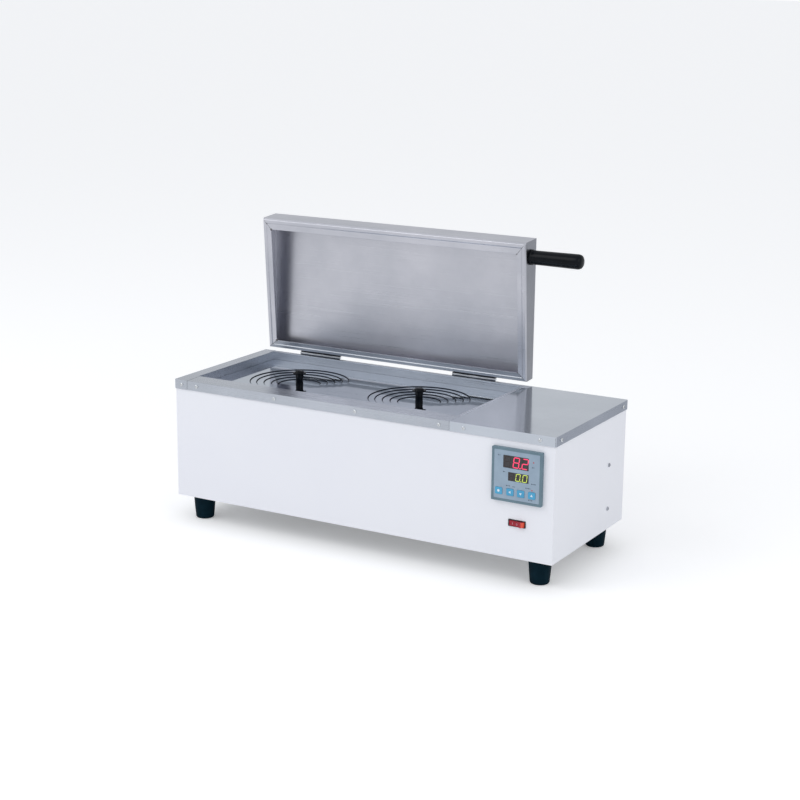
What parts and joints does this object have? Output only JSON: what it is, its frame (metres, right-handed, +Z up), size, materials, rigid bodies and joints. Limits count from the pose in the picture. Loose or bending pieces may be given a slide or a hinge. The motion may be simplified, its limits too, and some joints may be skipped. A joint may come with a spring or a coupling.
{
  "type": "laboratory water bath",
  "caption": "Bench water bath with a heated steel tank, nested ring covers, hinged wedge lid with a side handle, and a digital thermostat.",
  "frame": {"origin": "bottom centre of the object's box, on the surface that the feet stand on", "axes": "+Z up, +X to the right along the long side, +Y from the front with the thermostat to the hinges"},
  "size_m": [0.6032, 0.2766, 0.4159],
  "materials": {
    "casing_paint": "smooth baked enamel, near white",
    "galvanised_steel": "dull zinc",
    "top_steel": "fine brushed, soft mirror",
    "lid_steel": "brushed, weld marks at the mitres",
    "tank_steel": "brushed",
    "plate_steel": "polished",
    "bakelite": "moulded, glossy",
    "foot_rubber": "moulded, satin",
    "screw_steel": "bright zinc",
    "wall_screw": "dull zinc",
    "hinge_steel": "rolled",
    "glass_wool": "fibrous",
    "heater_sheath": "oxidised",
    "brass": "turned",
    "lever_red": "dipped",
    "controller_frame": "moulded, fine texture",
    "controller_face": "printed film",
    "black_plastic": "moulded",
    "window_glass": "tinted",
    "display_dark": "dark",
    "key_blue": "moulded",
    "rocker_red": "translucent red",
    "terminal_plastic": "moulded"
  },
  "bodies": {
    "root": {"base_plate": "galvanised_steel", "bulkhead": "galvanised_steel", "case_screws": "screw_steel", "casing_wrap": "casing_paint", "control_cover": "top_steel", "controller_bezel": "controller_frame", "controller_face": "controller_face", "controller_housing": "black_plastic", "display_module": "display_dark", "display_windows": "window_glass", "drain_pipe": "brass", "drain_tap": "brass", "feet": "foot_rubber", "foot_bolts": "screw_steel", "front_rail": "top_steel", "fuse_holder": "black_plastic", "heater": "heater_sheath", "hinge_fixed_leaves": "hinge_steel", "hinge_pins": "hinge_steel", "inlet_pins": "brass", "insulation": "glass_wool", "left_rail": "top_steel", "mains_inlet": "black_plastic", "rear_panel": "casing_paint", "rear_rail": "top_steel", "relay": "black_plastic", "relay_bracket": "galvanised_steel", "rocker_frame": "black_plastic", "side_screws": "wall_screw", "tank": "tank_steel", "tank_glands": "brass", "temperature_probe": "heater_sheath", "terminal_block": "terminal_plastic"},
    "lid": {"lid_shell": "lid_steel", "lid_handle": "bakelite", "handle_stud": "screw_steel", "hinge_lid_leaves": "hinge_steel", "hinge_lid_rivets": "screw_steel"},
    "ring_plate": {"ring_plate": "plate_steel"},
    "left_ring_1": {"left_ring_1": "plate_steel"},
    "left_ring_2": {"left_ring_2": "plate_steel"},
    "left_ring_3": {"left_ring_3": "plate_steel"},
    "left_ring_4": {"left_ring_4": "plate_steel"},
    "left_centre_lid": {"left_centre_lid": "plate_steel", "left_knob": "bakelite", "left_knob_screw": "screw_steel"},
    "right_ring_1": {"right_ring_1": "plate_steel"},
    "right_ring_2": {"right_ring_2": "plate_steel"},
    "right_ring_3": {"right_ring_3": "plate_steel"},
    "right_ring_4": {"right_ring_4": "plate_steel"},
    "right_centre_lid": {"right_centre_lid": "plate_steel", "right_knob": "bakelite", "right_knob_screw": "screw_steel"},
    "heater_shelf": {"heater_shelf": "tank_steel"},
    "rocker": {"rocker": "rocker_red"},
    "set_key": {"set_key": "key_blue"},
    "shift_key": {"shift_key": "key_blue"},
    "down_key": {"down_key": "key_blue"},
    "up_key": {"up_key": "key_blue"},
    "drain_tap_lever": {"drain_tap_lever": "lever_red"}
  },
  "joints": [
    {"name": "lid_hinge", "type": "hinge", "parent": "root", "child": "lid", "pos_m": [-0.075, 0.10016, 0.21], "axis": [-1, 0, 0], "range_deg": [-85.75, 0]},
    {"name": "ring_plate_lift", "type": "slide", "parent": "root", "child": "ring_plate", "axis": [0, 0, 1], "range_m": [0, 0.04]},
    {"name": "left_ring_1_lift", "type": "slide", "parent": "ring_plate", "child": "left_ring_1", "axis": [0, 0, 1], "range_m": [0, 0.03]},
    {"name": "left_ring_2_lift", "type": "slide", "parent": "left_ring_1", "child": "left_ring_2", "axis": [0, 0, 1], "range_m": [0, 0.03]},
    {"name": "left_ring_3_lift", "type": "slide", "parent": "left_ring_2", "child": "left_ring_3", "axis": [0, 0, 1], "range_m": [0, 0.03]},
    {"name": "left_ring_4_lift", "type": "slide", "parent": "left_ring_3", "child": "left_ring_4", "axis": [0, 0, 1], "range_m": [0, 0.03]},
    {"name": "left_centre_lid_lift", "type": "slide", "parent": "left_ring_4", "child": "left_centre_lid", "axis": [0, 0, 1], "range_m": [0, 0.03]},
    {"name": "right_ring_1_lift", "type": "slide", "parent": "ring_plate", "child": "right_ring_1", "axis": [0, 0, 1], "range_m": [0, 0.03]},
    {"name": "right_ring_2_lift", "type": "slide", "parent": "right_ring_1", "child": "right_ring_2", "axis": [0, 0, 1], "range_m": [0, 0.03]},
    {"name": "right_ring_3_lift", "type": "slide", "parent": "right_ring_2", "child": "right_ring_3", "axis": [0, 0, 1], "range_m": [0, 0.03]},
    {"name": "right_ring_4_lift", "type": "slide", "parent": "right_ring_3", "child": "right_ring_4", "axis": [0, 0, 1], "range_m": [0, 0.03]},
    {"name": "right_centre_lid_lift", "type": "slide", "parent": "right_ring_4", "child": "right_centre_lid", "axis": [0, 0, 1], "range_m": [0, 0.03]},
    {"name": "shelf_lift", "type": "slide", "parent": "root", "child": "heater_shelf", "axis": [0, 0, 1], "range_m": [0, 0.05]},
    {"name": "rocker_tilt", "type": "hinge", "parent": "root", "child": "rocker", "pos_m": [0.2472, -0.12994, 0.0844], "axis": [0, 0, 1], "range_deg": [0, 24]},
    {"name": "set_key_press", "type": "slide", "parent": "root", "child": "set_key", "axis": [0, 1, 0], "range_m": [0, 0.0005], "stiffness_N_per_m": 400},
    {"name": "shift_key_press", "type": "slide", "parent": "root", "child": "shift_key", "axis": [0, 1, 0], "range_m": [0, 0.0005], "stiffness_N_per_m": 400},
    {"name": "down_key_press", "type": "slide", "parent": "root", "child": "down_key", "axis": [0, 1, 0], "range_m": [0, 0.0005], "stiffness_N_per_m": 400},
    {"name": "up_key_press", "type": "slide", "parent": "root", "child": "up_key", "axis": [0, 1, 0], "range_m": [0, 0.0005], "stiffness_N_per_m": 400},
    {"name": "drain_tap_turn", "type": "hinge", "parent": "root", "child": "drain_tap_lever", "pos_m": [-0.24, 0.11226, 0.082], "axis": [0, 0, 1], "range_deg": [0, 90]}
  ]
}
